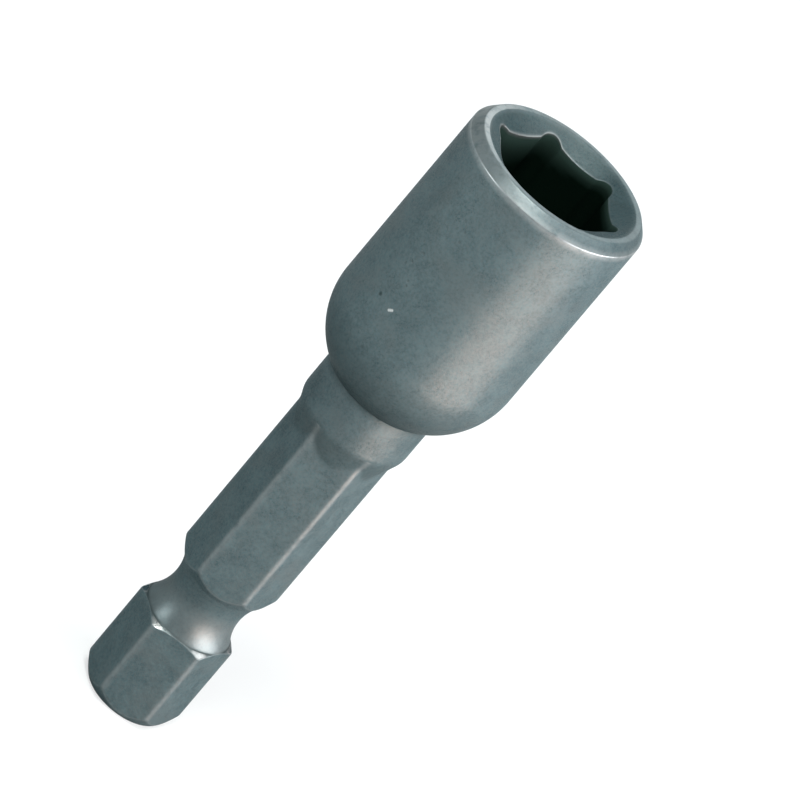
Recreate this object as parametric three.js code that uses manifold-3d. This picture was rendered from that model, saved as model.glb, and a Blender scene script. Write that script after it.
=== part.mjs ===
// Magnetic nut setter: a hexagon power-drive shank pressed into a round socket with a hexagon
// pocket, and a disc magnet in a thin sleeve at the bottom of the pocket.
// Millimetres, +Z up. The origin is the centre of the shank's free end and +Z runs along the
// tool's axis to the socket's mouth. The shank's hexagon has corners on +X and -X.
import * as THREE from "three";
import { mergeVertices, toCreasedNormals } from "three/addons/utils/BufferGeometryUtils.js";
import Module from "manifold-3d";

// Drive shank: a quarter-inch hexagon with an end chamfer and a detent groove
const SHANK_LENGTH = 28.9; // free end to the collar's shoulder
const HEX_ACROSS_FLATS = 6.35;
const HEX_EDGE_RADIUS = 0.45;
const END_FACE_DIAMETER = 5.86;
const END_CHAMFER_ANGLE = 34.5; // from the axis
const GROOVE_CENTRE = 9.36; // from the free end
const GROOVE_DIAMETER = 5.16; // at its bottom
const GROOVE_ARC_RADIUS = 4.2;
const GROOVE_END_RISE = 0.58; // height of the arc on the free end's side
const GROOVE_NOSE_RISE = 0.37; // height of the arc on the socket's side
const GROOVE_END_FLANK_ANGLE = 57; // from the axis
const GROOVE_NOSE_FLANK_ANGLE = 34;

// Collar: a cone grows out of the hexagon to a round shoulder, and a spigot goes into the socket
const COLLAR_DIAMETER = 7.9;
const COLLAR_LENGTH = 3.1; // full diameter, up to the shoulder
const COLLAR_CONE_ANGLE = 19.9;
const COLLAR_EDGE_RADIUS = 1.5;
const SPIGOT_LEAD = 0.3;

// Socket: domed rear, wall with a slight draft, chamfered rim with a flat land
const SOCKET_LENGTH = 19.1; // rear face to the rim
const SOCKET_DIAMETER = 13.03; // at the end of the dome
const SOCKET_DRAFT_ANGLE = 0.27;
const DOME_RADIUS = 5.87;
const RIM_CHAMFER_HEIGHT = 0.65;
const RIM_CHAMFER_WIDTH = 0.55;
const RIM_LAND_WIDTH = 0.4;

// Pocket: a hexagon with a round relief in each corner, under a shallow countersink
const POCKET_ACROSS_FLATS = 8.1; // working clearance on an 8 mm nut
const POCKET_DEPTH = 7; // rim to the magnet's seat
const POCKET_TURN = -12.2; // from the shank's hexagon
const COUNTERSINK_SLOPE = 30.6; // below the rim's plane
const RELIEF_RADIUS = 0.77;
const RELIEF_DEPTH = 0.1; // past the hexagon's sharp corner

// Magnet and the sleeve that centres it in the socket's bore
const MAGNET_DIAMETER = 4.8;
const MAGNET_HEIGHT = 4;
const MAGNET_RECESS = 0.2; // below the sleeve's face
const SLEEVE_WALL = 0.8;

const MAGNET_CLEARANCE = 0.02; // radial, magnet in sleeve
const PRESS_CLEARANCE = 0.01; // radial, spigot and sleeve in bore

// Every turned surface has the same facets, so that coaxial fits stay clear all round
const SEGMENTS = 72;
const ARC_STEPS = 12;
const OVERRUN = 1; // how far a cutting shape runs past what it cuts

// Places and radii worked out from the sizes above
const hexApothem = HEX_ACROSS_FLATS / 2;
const hexCorner = hexApothem / Math.cos(Math.PI / 6);
const collarRadius = COLLAR_DIAMETER / 2;
const sleeveRadius = MAGNET_DIAMETER / 2 + MAGNET_CLEARANCE + SLEEVE_WALL;
const spigotRadius = sleeveRadius;
const boreRadius = spigotRadius + PRESS_CLEARANCE;
const shoulderZ = SHANK_LENGTH;
const rimZ = shoulderZ + SOCKET_LENGTH;
const pocketFloorZ = rimZ - POCKET_DEPTH;
const sleeveHeight = MAGNET_HEIGHT + MAGNET_RECESS;
const spigotEndZ = pocketFloorZ - sleeveHeight;

const wasm = await Module();
wasm.setup();

const radians = THREE.MathUtils.degToRad;
const slope = (degrees) => Math.tan(radians(degrees));

// Points of an arc, each as radius and height, from one angle to another in radians
function arc(centreR, centreZ, radius, from, to, steps = ARC_STEPS) {
  return Array.from({ length: steps + 1 }, (_, i) => {
    const a = from + ((to - from) * i) / steps;
    return [centreR + radius * Math.cos(a), centreZ + radius * Math.sin(a)];
  });
}

// A closed geometry as a solid, with its shared corners joined
function solid(geometry) {
  geometry.deleteAttribute("normal");
  geometry.deleteAttribute("uv");
  const merged = mergeVertices(geometry, 1e-5);
  const index = Array.from(merged.index.array);
  const triVerts = [];
  for (let i = 0; i < index.length; i += 3) {
    const [a, b, c] = index.slice(i, i + 3);
    if (a !== b && b !== c && c !== a) triVerts.push(a, b, c);
  }
  const vertProperties = merged.getAttribute("position").array;
  const mesh = new wasm.Mesh({ numProp: 3, vertProperties, triVerts: new Uint32Array(triVerts) });
  return new wasm.Manifold(mesh);
}

// A turned solid from its profile of radius and height, listed from the bottom up
function turned(profile) {
  const points = profile.map(([r, z]) => new THREE.Vector2(Math.max(r, 0), z));
  return solid(new THREE.LatheGeometry(points, SEGMENTS).rotateX(Math.PI / 2));
}

// A straight bar with the given outline, between two heights
function bar(outline, fromZ, toZ) {
  const shape = new THREE.Shape(outline.map(([x, y]) => new THREE.Vector2(x, y)));
  const geometry = new THREE.ExtrudeGeometry(shape, { depth: toZ - fromZ, bevelEnabled: false });
  return solid(geometry.translate(0, 0, fromZ));
}

// A hexagon whose corners are arcs: one arc per corner, reaching the same angle to each side
function hexagon(turn, centreRadius, arcRadius, halfAngle) {
  return Array.from({ length: 6 }, (_, i) => {
    const corner = radians(turn + 60 * i);
    const x = centreRadius * Math.cos(corner);
    const y = centreRadius * Math.sin(corner);
    return arc(x, y, arcRadius, corner - halfAngle, corner + halfAngle, ARC_STEPS / 2);
  }).flat();
}

// Drive shank: the hexagon bar, trimmed by a turned envelope that carries the chamfer and groove
function makeDriveShank() {
  const clearRadius = hexCorner + OVERRUN;
  const endRadius = END_FACE_DIAMETER / 2;
  const chamferTopZ = (clearRadius - endRadius) / slope(END_CHAMFER_ANGLE);

  const grooveRadius = GROOVE_DIAMETER / 2;
  const arcCentre = grooveRadius + GROOVE_ARC_RADIUS;
  const endAngle = Math.acos(1 - GROOVE_END_RISE / GROOVE_ARC_RADIUS);
  const noseAngle = Math.acos(1 - GROOVE_NOSE_RISE / GROOVE_ARC_RADIUS);
  const groove = arc(
    arcCentre, GROOVE_CENTRE, GROOVE_ARC_RADIUS, Math.PI + endAngle, Math.PI - noseAngle,
  );
  const [grooveEndR, grooveEndZ] = groove[0];
  const [grooveNoseR, grooveNoseZ] = groove.at(-1);
  const flankEndZ = grooveEndZ - (clearRadius - grooveEndR) / slope(GROOVE_END_FLANK_ANGLE);
  const flankNoseZ = grooveNoseZ + (clearRadius - grooveNoseR) / slope(GROOVE_NOSE_FLANK_ANGLE);

  const coneTopZ = shoulderZ - COLLAR_LENGTH;
  const coneFootR = hexApothem * 0.9; // starts inside the flats, so the cone cuts out of them
  const coneFootZ = coneTopZ - (collarRadius - coneFootR) / slope(COLLAR_CONE_ANGLE);
  const edgeAngle = radians(COLLAR_CONE_ANGLE);
  const edgeZ = coneTopZ + COLLAR_EDGE_RADIUS * Math.tan(edgeAngle / 2);
  const edge = arc(collarRadius - COLLAR_EDGE_RADIUS, edgeZ, COLLAR_EDGE_RADIUS, -edgeAngle, 0);

  const filletCentre = (hexApothem - HEX_EDGE_RADIUS) / Math.cos(Math.PI / 6);
  const hexBar = bar(hexagon(0, filletCentre, HEX_EDGE_RADIUS, Math.PI / 6), 0, coneTopZ);
  const envelope = turned([
    [0, 0],
    [endRadius, 0],
    [clearRadius, chamferTopZ],
    [clearRadius, flankEndZ],
    ...groove,
    [clearRadius, flankNoseZ],
    [clearRadius, coneTopZ],
    [0, coneTopZ],
  ]);
  const collar = turned([
    [0, coneFootZ],
    [coneFootR, coneFootZ],
    ...edge,
    [collarRadius, shoulderZ],
    [spigotRadius, shoulderZ],
    [spigotRadius, spigotEndZ - SPIGOT_LEAD],
    [spigotRadius - SPIGOT_LEAD, spigotEndZ],
    [0, spigotEndZ],
  ]);
  return hexBar.intersect(envelope).add(collar);
}

// Socket: the outside turned in one profile with its countersink, then the pocket and bore cut out
function makeSocket() {
  const radius = SOCKET_DIAMETER / 2;
  const domeCentre = radius - DOME_RADIUS;
  const domeAngle = Math.acos(Math.max(0, collarRadius - domeCentre) / DOME_RADIUS);
  const domeTopZ = shoulderZ + DOME_RADIUS * Math.sin(domeAngle);
  const dome = arc(domeCentre, domeTopZ, DOME_RADIUS, -domeAngle, 0, 2 * ARC_STEPS);

  const wallTopZ = rimZ - RIM_CHAMFER_HEIGHT;
  const wallTopR = radius - (wallTopZ - domeTopZ) * slope(SOCKET_DRAFT_ANGLE);
  const landR = wallTopR - RIM_CHAMFER_WIDTH;
  const sinkR = landR - RIM_LAND_WIDTH;
  const body = turned([
    [0, shoulderZ],
    ...dome,
    [wallTopR, wallTopZ],
    [landR, rimZ],
    [sinkR, rimZ],
    [0, rimZ - sinkR * slope(COUNTERSINK_SLOPE)],
  ]);

  const pocketCorner = POCKET_ACROSS_FLATS / 2 / Math.cos(Math.PI / 6);
  const reliefCentre = pocketCorner + RELIEF_DEPTH - RELIEF_RADIUS;
  const reliefToFlat = (1 - RELIEF_DEPTH / RELIEF_RADIUS) * Math.cos(Math.PI / 6);
  const reliefAngle = Math.PI / 6 + Math.acos(reliefToFlat);
  const pocketOutline = hexagon(POCKET_TURN, reliefCentre, RELIEF_RADIUS, reliefAngle);
  const pocket = bar(pocketOutline, pocketFloorZ, rimZ + OVERRUN);
  const bore = turned([
    [0, shoulderZ - OVERRUN],
    [boreRadius, shoulderZ - OVERRUN],
    [boreRadius, pocketFloorZ + OVERRUN],
    [0, pocketFloorZ + OVERRUN],
  ]);
  return body.subtract(pocket).subtract(bore);
}

// Magnet: a plain disc that stands on the spigot's end
function makeMagnet() {
  const radius = MAGNET_DIAMETER / 2;
  const topZ = spigotEndZ + MAGNET_HEIGHT;
  return turned([[0, spigotEndZ], [radius, spigotEndZ], [radius, topZ], [0, topZ]]);
}

// Sleeve: a thin ring round the magnet, level with the pocket's floor
function makeMagnetSleeve() {
  const inner = MAGNET_DIAMETER / 2 + MAGNET_CLEARANCE;
  const outside = turned([
    [0, spigotEndZ],
    [sleeveRadius, spigotEndZ],
    [sleeveRadius, pocketFloorZ],
    [0, pocketFloorZ],
  ]);
  const hole = turned([
    [0, spigotEndZ - OVERRUN],
    [inner, spigotEndZ - OVERRUN],
    [inner, pocketFloorZ + OVERRUN],
    [0, pocketFloorZ + OVERRUN],
  ]);
  return outside.subtract(hole);
}

// A solid as a named mesh with its own material
function part(name, body, material) {
  const { vertProperties, triVerts } = body.getMesh();
  const geometry = new THREE.BufferGeometry();
  geometry.setAttribute("position", new THREE.BufferAttribute(new Float32Array(vertProperties), 3));
  geometry.setIndex(new THREE.BufferAttribute(new Uint32Array(triVerts), 1));
  const mesh = new THREE.Mesh(toCreasedNormals(geometry, radians(25)), material);
  mesh.name = name;
  return mesh;
}

const phosphatedSteel = { color: 0x66716f, metalness: 0.75, roughness: 0.5 };
const nutSetter = new THREE.Group();
nutSetter.name = "nut_setter";
nutSetter.add(
  part("drive_shank", makeDriveShank(), new THREE.MeshStandardMaterial(phosphatedSteel)),
  part("socket", makeSocket(), new THREE.MeshStandardMaterial(phosphatedSteel)),
  part(
    "magnet",
    makeMagnet(),
    new THREE.MeshStandardMaterial({ color: 0xb4b6b8, metalness: 1, roughness: 0.3 }),
  ),
  part(
    "magnet_sleeve",
    makeMagnetSleeve(),
    new THREE.MeshStandardMaterial({ color: 0xa98a4a, metalness: 1, roughness: 0.4 }),
  ),
);

export default nutSetter;
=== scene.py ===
import math
from types import SimpleNamespace

import bpy
import numpy as np
from mathutils import Matrix, Vector


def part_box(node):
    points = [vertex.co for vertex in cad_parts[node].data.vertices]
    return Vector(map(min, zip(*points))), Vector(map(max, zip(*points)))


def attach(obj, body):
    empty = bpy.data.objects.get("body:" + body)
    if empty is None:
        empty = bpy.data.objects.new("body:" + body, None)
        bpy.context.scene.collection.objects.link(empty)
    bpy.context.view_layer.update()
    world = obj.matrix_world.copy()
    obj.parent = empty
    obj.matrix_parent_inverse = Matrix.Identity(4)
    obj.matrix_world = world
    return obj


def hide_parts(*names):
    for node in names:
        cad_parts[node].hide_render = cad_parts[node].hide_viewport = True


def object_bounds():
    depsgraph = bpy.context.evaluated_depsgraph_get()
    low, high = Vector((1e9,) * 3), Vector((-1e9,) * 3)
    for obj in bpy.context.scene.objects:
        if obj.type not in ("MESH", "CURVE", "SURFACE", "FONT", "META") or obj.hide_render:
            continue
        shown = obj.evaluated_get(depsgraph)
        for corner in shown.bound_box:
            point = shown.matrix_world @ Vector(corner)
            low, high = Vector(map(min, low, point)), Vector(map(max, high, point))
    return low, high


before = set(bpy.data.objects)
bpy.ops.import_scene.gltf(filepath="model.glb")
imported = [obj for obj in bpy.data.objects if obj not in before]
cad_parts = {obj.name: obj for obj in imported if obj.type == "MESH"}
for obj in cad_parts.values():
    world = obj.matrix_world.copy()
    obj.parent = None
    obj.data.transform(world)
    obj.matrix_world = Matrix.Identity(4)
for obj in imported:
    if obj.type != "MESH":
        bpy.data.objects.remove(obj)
CAD_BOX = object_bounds()

bl_info = {
    "name": "Magnetic Nut Setter",
    "version": (1, 0, 0),
    "blender": (4, 5, 0),
    "location": "View3D > Sidebar > Nut Setter",
    "description": "Dresses a magnetic nut setter: turned hexagon shank, domed socket, magnet and sleeve",
    "category": "Object",
}

MM = 0.001
BODY = "root"
HEX_SIDES = 6
HALF_SECTOR = math.pi / HEX_SIDES
LAMPS = ("key_light", "right_light", "high_light", "top_light", "front_light", "left_light", "back_light")

# Steps of the meshes

FINE_STEP = 0.04 * MM
MEDIUM_STEP = 0.05 * MM
COARSE_STEP = 0.5 * MM
RIM_STEP = 0.4 * MM
DISC_STEP = 0.25 * MM
SLEEVE_STEP = 0.4 * MM
CORNER_STEPS = 6
ROUND_STEPS = 8
HOLLOW_STEPS = 40
SIDE_STEPS = 36
DOME_STEPS = 48
RELIEF_STEPS = 40
FLAT_STEPS = 20
SINK_STEPS = 11
EDGE_STEPS = 6
WALL_STEPS = 14
SEAT_STEPS = 4
BORE_STEPS = 7
TURNED_COLUMNS = 160
CORNER_CROWDING = 0.82
RELIEF_SECTOR = math.radians(13)
LEAST_TURN = 1e-6

# Clearances and shares

CORNER_CLEARANCE = 1.0 * MM
BORE_CLEARANCE = 0.01 * MM
SEAT_MARGIN = 0.01 * MM
HUB_SHARE = 0.1
CONE_ROOT_SHARE = 0.9
SPOT_CORE_SHARE = 0.3

# Floor and camera

FLOOR_RADII = (1.6, 0.4, 0.1, 0.02)
FLOOR_COLUMNS = 64
FLOOR_SPECK_SCALE = 60.0
FLOOR_SPECK_SHADE = 0.985
CLIP_START = 0.01
SENSOR_WIDTH = 36.0

# Rubbed steel, painted highlights and painted shade, as amounts from 0 to 1, with the widths over which they
# fade

SHANK_RUBBING_AND_PAINTED_LIGHT = SimpleNamespace(
    # Long edges and the end flank's facets are partly rubbed steel and partly painted highlight.
    long_edge=0.19,
    long_edge_width=0.2 * MM,
    long_edge_fade=0.1 * MM,
    cut_edge=0.12,
    cut_edge_width=0.05 * MM,
    flank_between_corners=0.15,
    flank_reach=0.62 * MM,
    flank_fade=0.25 * MM,
    flank_edge=0.04 * MM,
    flank_margin=0.03 * MM,
    ball_reach=0.7 * MM,
    ball_fade=1.2 * MM,
    ball_edge=0.06 * MM,
    # Painted shade: a dark line in the crease at the hollow's end, the cone, which faces the free end, and
    # the collar just below the seam.
    border_shade=0.6,
    border_width=0.09 * MM,
    border_edge=0.02 * MM,
    cone_shade=0.18,
    cone_edge=0.08 * MM,
    cone_fade=0.7 * MM,
    seam_shade=0.5,
    seam_reach=0.2 * MM,
    seam_fade=0.16 * MM,
)
SOCKET_RUBBING_AND_PAINTED_LIGHT = SimpleNamespace(
    # Rim and pocket edges: partly rubbed steel and partly painted highlight; the lit-rim and lit-side shares
    # are painted highlight on one side only.
    rim_edge=0.42,
    rim_edge_width=0.1 * MM,
    land=0.12,
    land_lit_rim=0.06,
    land_width=0.3 * MM,
    chamfer=0.04,
    chamfer_lit_rim=0.40,
    pocket_edge=0.1,
    pocket_edge_lit_side=0.7,
    pocket_edge_width=0.1 * MM,
    # Painted shade in the seam with the collar and on the dome about it; the countersink is painted darker.
    sink_darkening=0.34,
    sink_fade=0.15 * MM,
    seam_shade=0.45,
    seam_width=0.2 * MM,
    root_shade=0.5,
    root_width=3.2 * MM,
)

# Patterns of the finishes: scales in lumps per metre, shares and strengths, and depths in metres

COAT = SimpleNamespace(
    mottle_scale=700.0,
    mottle_share=0.45,
    grain_scale=5200.0,
    pit_scale=1150.0,
    pit_patch_scale=240.0,
    pit_darkness=0.55,
    pit_depth=0.9,
    cloud_scale=380.0,
    cloud_strength=0.3,
    fleck_scale=42000.0,
    fleck_bias=0.025,
    burnish_strength=0.37,
    burnish_calm=0.85,
    rub_scale=1500.0,
    rub_smoothing=0.12,
    dent_darkness=0.6,
    painted_dark_strength=0.85,
    roughness=0.27,
    grain_roughness=0.10,
    mottle_roughness=0.16,
    edge_tint=0.65,
    bump_strength=0.35,
    bump_depth=0.04 * MM,
)
TURNED = SimpleNamespace(
    ring_scale=2400.0,
    ring_wander=1.2,
    tarnish_scale=700.0,
    tarnish_strength=0.35,
    tarnish_roughness=0.14,
    bump_strength=0.12,
    bump_depth=0.01 * MM,
)


def node_size(node):
    """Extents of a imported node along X, Y and Z, in metres."""
    low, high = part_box(node)
    return Vector(high) - Vector(low)


def node_span(node):
    """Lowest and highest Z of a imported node, in metres."""
    low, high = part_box(node)
    return low[2], high[2]


# Property helpers


def number(name, description, default, **kind):
    """A number, with its unit or subtype where one fits."""
    return bpy.props.FloatProperty(name=name, description=description, default=default, **kind)


def length(name, description, default):
    """A size in metres."""
    return number(name, description, default, unit="LENGTH", precision=5)


def angle(name, description, degrees):
    """An angle, written in degrees and kept in radians."""
    return number(name, description, math.radians(degrees), subtype="ANGLE")


def colour(name, description, default):
    """A linear RGB colour."""
    return bpy.props.FloatVectorProperty(
        name=name, description=description, default=default, subtype="COLOR", min=0.0, max=1.0
    )


# Sizes and finishes


class NutSetterShank(bpy.types.PropertyGroup):
    """Sizes of the hexagon drive shank."""

    across_flats: length("Across flats", "Width of the drive hexagon", 6.35 * MM)
    edge_radius: length("Edge radius", "Rounding of the hexagon's long edges", 0.45 * MM)
    cut_softness: length("Cut softness", "Width over which a turned cut blends into the hexagon", 0.09 * MM)
    end_face_diameter: length("End face", "Diameter of the flat free end", 5.86 * MM)
    end_edge_radius: length("End edge radius", "Rounding between the free end and its chamfer", 0.25 * MM)
    end_chamfer: angle("End chamfer", "Angle of the end chamfer from the axis", 34.5)
    groove_centre: length("Groove centre", "Middle of the detent groove from the free end", 9.36 * MM)
    groove_diameter: length("Groove diameter", "Diameter at the bottom of the groove", 5.16 * MM)
    groove_arc: length("Groove arc", "Radius of the groove's hollow", 4.2 * MM)
    groove_end_rise: length("End rise", "Height of the hollow towards the free end", 0.58 * MM)
    groove_nose_rise: length("Nose rise", "Height of the hollow towards the socket", 0.37 * MM)
    groove_end_flank: angle("End flank", "Angle of the flank at the free end from the axis", 57)
    groove_nose_flank: angle("Nose flank", "Angle of the flank at the socket from the axis", 34)
    collar_length: length("Collar length", "Full-diameter part of the collar, up to its shoulder", 3.1 * MM)
    collar_cone: angle("Collar cone", "Angle of the cone between hexagon and collar", 19.9)
    collar_edge_radius: length("Collar edge", "Rounding between cone and collar", 1.5 * MM)
    shoulder_edge: length("Shoulder edge", "Rounding of the collar's shoulder", 0.02 * MM)
    spigot_fillet: length("Spigot fillet", "Rounding between shoulder and spigot", 0.05 * MM)
    spigot_lead: length("Spigot lead", "Chamfer at the spigot's end", 0.3 * MM)


class NutSetterSocket(bpy.types.PropertyGroup):
    """Sizes of the socket and its pocket, and where its rubbing, painted light and shade, and marks lie."""

    draft: angle("Draft", "Taper of the wall towards the mouth", 0.27)
    dome_radius: length("Dome radius", "Radius of the rounded rear", 5.87 * MM)
    chamfer_height: length("Rim chamfer height", "Height of the outer rim chamfer", 0.65 * MM)
    chamfer_width: length("Rim chamfer width", "Width of the outer rim chamfer", 0.55 * MM)
    land_width: length("Rim land", "Width of the flat ring on the rim", 0.4 * MM)
    rim_edge_radius: length("Rim edge radius", "Rounding of the rim's turned edges", 0.2 * MM)
    lip_radius: length("Lip radius", "Rounding between the rim's land and the countersink", 0.25 * MM)
    # Painted highlight: the rim's land and chamfer are lighter towards this side.
    lit_rim_angle: angle("Worn angle", "Side of the rim that is rubbed most, round the axis", -175)
    pocket_across_flats: length("Pocket across flats", "Width of the hexagon pocket", 8.1 * MM)
    pocket_turn: angle("Pocket turn", "Turn of the pocket from the drive hexagon", -12.2)
    pocket_edge_radius: length("Pocket edge radius", "Rounding between countersink and wall", 0.08 * MM)
    countersink: angle("Countersink", "Slope of the countersink below the rim", 30.6)
    relief_radius: length("Relief radius", "Radius of the corner reliefs", 0.77 * MM)
    relief_depth: length("Relief depth", "Reach of a relief past the hexagon's corner", 0.1 * MM)
    relief_blend: length("Relief blend", "Width over which a relief runs into its flats", 0.16 * MM)
    # Painted shade inside the pocket: black below the edge over this reach, reaching deeper on the lit side,
    # whose wall and edge are painted lighter.
    shade_reach: length("Oil reach", "Depth below the pocket's edge where oil is black", 0.8 * MM)
    lit_side_angle: angle("Thin oil angle", "Side of the pocket with thin oil, round the axis", 150)
    lit_side_reach: number("Thin oil reach", "How many times deeper the oil turns black there", 2.6)
    nick_angle: angle("Nick angle", "Where the bright nick is, round the axis", -121.3)
    nick_height: length("Nick height", "Where the bright nick is, along the axis", 36.25 * MM)
    nick_turn: angle("Nick turn", "Half of the nick's run round the axis", 0.8)
    nick_rise: length("Nick rise", "Half of the nick's run along the axis", 0.08 * MM)
    nick_radius: length("Nick radius", "Half of the nick's width", 0.125 * MM)
    dent_angle: angle("Dent angle", "Where the dark dent is, round the axis", -132.8)
    dent_height: length("Dent height", "Where the dark dent is, along the axis", 36.36 * MM)
    dent_radius: length("Dent radius", "Size of the dark dent", 0.2 * MM)


class NutSetterMagnet(bpy.types.PropertyGroup):
    """Sizes of the magnet and its sleeve."""

    edge_radius: length("Edge radius", "Rounding of the magnet's edges", 0.25 * MM)
    sleeve_wall: length("Sleeve wall", "Thickness of the sleeve", 0.8 * MM)
    sleeve_edge: length("Sleeve edge", "Rounding of the sleeve's edges", 0.1 * MM)


class NutSetterFinish(bpy.types.PropertyGroup):
    """Colours and roughness of the finishes."""

    phosphate_dark: colour("Phosphate, dark", "Deep tone of the grey phosphate coat", (0.044, 0.086, 0.099))
    phosphate_light: colour("Phosphate, light", "Pale tone of the grey phosphate coat", (0.096, 0.166, 0.184))
    pit: colour("Pits", "Dark bottoms of small pits in the coat", (0.03, 0.04, 0.042))
    steel: colour("Steel", "Fine points of steel that show through the coat", (0.128, 0.149, 0.152))
    warm_steel: colour("Warm steel", "Faint warm clouds in the coat", (0.110, 0.128, 0.128))
    burnished: colour("Burnished", "Groove rubbed smooth by the chuck's balls", (0.19, 0.212, 0.214))
    # Bright steel for rubbed edges and nicks, and for painted highlights on the edges, the rim and the flank.
    rubbed_and_glint_steel: colour("Worn steel", "Steel where the coat is rubbed thin on edges", (0.56, 0.58, 0.58))
    # Painted shade: the seam with the collar, the dome about it, the cone and the crease at the groove's end;
    # it also darkens the countersink.
    painted_dark: colour("Grime", "Dirt in the seam, the groove and the mouth", (0.018, 0.027, 0.027))
    # Painted half shade: the greenish tone of the pocket's wall just inside its edge.
    pocket_half_shade: colour("Pocket oil", "Thin oil just inside the pocket's edge", (0.045, 0.082, 0.070))
    # Painted shade: the black inside the pocket; also the colour of the dark dent.
    pocket_shade_and_dent_black: colour("Pocket black", "Oily black inside the pocket", (0.002, 0.006, 0.004))
    nickel: colour("Nickel", "Plating of the magnet", (0.62, 0.60, 0.56))
    nickel_tarnish: colour("Nickel tarnish", "Dull spots on the magnet", (0.30, 0.27, 0.23))
    nickel_roughness: number("Nickel roughness", "Roughness of the clean plating", 0.22, subtype="FACTOR")
    brass: colour("Brass", "Sleeve", (0.58, 0.42, 0.17))
    brass_tarnish: colour("Brass tarnish", "Dull spots on the sleeve", (0.22, 0.13, 0.05))
    brass_roughness: number("Brass roughness", "Roughness of the clean brass", 0.30, subtype="FACTOR")


class NutSetterStage(bpy.types.PropertyGroup):
    """Camera, floor and sky."""

    azimuth: angle("Azimuth", "Turn of the camera about the tool from the front", -7.18)
    elevation: angle("Elevation", "Height of the camera above the level of the floor", 27.4)
    roll: angle("Roll", "Turn of the camera about its own axis", 40.23)
    distance: length("Distance", "Camera to the plane of the tool's free end", 420 * MM)
    offset_right: length("Offset right", "Camera axis from the free end, to the picture's right", 17.574 * MM)
    offset_up: length("Offset up", "Camera axis from the free end, to the picture's top", 18.743 * MM)
    lens: number("Lens", "Focal length in millimetres on a 36 mm sensor", 294.3, unit="CAMERA")
    floor: colour("Floor", "Pale floor", (0.30, 0.32, 0.325))
    floor_lift: number("Floor lift", "Light added to the floor where it is seen, to whiten it", 0.65)
    foot: length("Foot", "Radius in which the tool shades the floor's reflection", 25 * MM)
    foot_share: number("Foot share", "Share of the lift that is reflected there", 0.1, subtype="FACTOR")
    clear: length("Clear", "Radius beyond which the floor reflects in full", 80 * MM)
    shade_side: length("Shade side", "How far the shaded floor lies to the camera's left", 25 * MM)
    sky: colour("Sky", "Soft light from all round", (0.03, 0.075, 0.095))


def soft_box(side, rise, distance, width, tall, tint, power):
    """Settings of one soft box: angles in degrees, sizes in millimetres, power in watts."""
    return {
        "side": angle("Side", "Angle to the right of the camera", side),
        "rise": angle("Rise", "Angle above the tool's middle", rise),
        "distance": length("Distance", "Distance from the tool's middle", distance * MM),
        "width": length("Width", "Width of the box", width * MM),
        "tall": length("Height", "Height of the box", tall * MM),
        "tint": colour("Tint", "Colour of the light", tint),
        "power": number("Power", "Power of the light", power, unit="POWER"),
    }


class NutSetterKeyLight(bpy.types.PropertyGroup):
    """Long soft box that stands low on the right and draws the bright band along the tool."""

    __annotations__ = soft_box(60, -14, 63, 64, 15, (1.0, 0.66, 0.54), 0.0252)


class NutSetterRightLight(bpy.types.PropertyGroup):
    """Wide soft box that stands on the right."""

    __annotations__ = soft_box(80, 8, 260, 280, 116, (1.0, 0.945, 0.95), 1.07)


class NutSetterHighLight(bpy.types.PropertyGroup):
    """Soft box high on the right, which the groove's flank shows."""

    __annotations__ = soft_box(98, 60, 300, 200, 200, (1.0, 1.0, 1.0), 0.26)


class NutSetterTopLight(bpy.types.PropertyGroup):
    """Soft box overhead."""

    __annotations__ = soft_box(-20, 72, 400, 120, 120, (1.0, 1.0, 0.95), 1.25)


class NutSetterFrontLight(bpy.types.PropertyGroup):
    """Long soft box above the camera, which lights the near rim."""

    __annotations__ = soft_box(12, 50, 400, 700, 120, (0.95, 0.93, 0.92), 0.83)


class NutSetterLeftLight(bpy.types.PropertyGroup):
    """Small soft box on the left, which the groove shows."""

    __annotations__ = soft_box(-54, 8, 300, 100, 100, (0.96, 0.98, 0.97), 0.29)


class NutSetterBackLight(bpy.types.PropertyGroup):
    """Soft box behind, which the flat ring of the rim shows."""

    __annotations__ = soft_box(180, 27, 350, 240, 240, (1.0, 1.0, 1.0), 0.40)


class NutSetterSettings(bpy.types.PropertyGroup):
    """Everything that can be set on the nut setter."""

    shank: bpy.props.PointerProperty(type=NutSetterShank)
    socket: bpy.props.PointerProperty(type=NutSetterSocket)
    magnet: bpy.props.PointerProperty(type=NutSetterMagnet)
    finish: bpy.props.PointerProperty(type=NutSetterFinish)
    stage: bpy.props.PointerProperty(type=NutSetterStage)
    key_light: bpy.props.PointerProperty(type=NutSetterKeyLight)
    right_light: bpy.props.PointerProperty(type=NutSetterRightLight)
    high_light: bpy.props.PointerProperty(type=NutSetterHighLight)
    top_light: bpy.props.PointerProperty(type=NutSetterTopLight)
    front_light: bpy.props.PointerProperty(type=NutSetterFrontLight)
    left_light: bpy.props.PointerProperty(type=NutSetterLeftLight)
    back_light: bpy.props.PointerProperty(type=NutSetterBackLight)


# Curves and surfaces


def smooth_min(a, b, width):
    """The lesser of a and b, less a parabola of depth width/4 where they are within width of each other."""
    near = np.maximum(width - np.abs(a - b), 0.0) / width
    return np.minimum(a, b) - near**2 * width / 4


def smooth_max(a, b, width):
    """The greater of a and b, rounded where they meet."""
    return -smooth_min(-a, -b, width)


def fade(value, width):
    """0 below 0, 1 above width, and a straight line between."""
    return np.clip(value / width, 0.0, 1.0)


def bell(distance, width):
    """1 at no distance, falling as the exponential of minus the square of distance over width."""
    return np.exp(-((distance / width) ** 2))


def shares(steps):
    """The ends of equal parts of a line as fractions of its length, in a column."""
    return np.arange(1, steps + 1)[:, None] / steps


def arc(centre_r, centre_z, radius, start, end, steps):
    """Points of a circle as rows of radius and height: centre plus radius times cosine and sine."""
    a = np.linspace(start, end, steps + 1)
    return np.stack([centre_r + radius * np.cos(a), centre_z + radius * np.sin(a)], axis=1)


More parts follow.
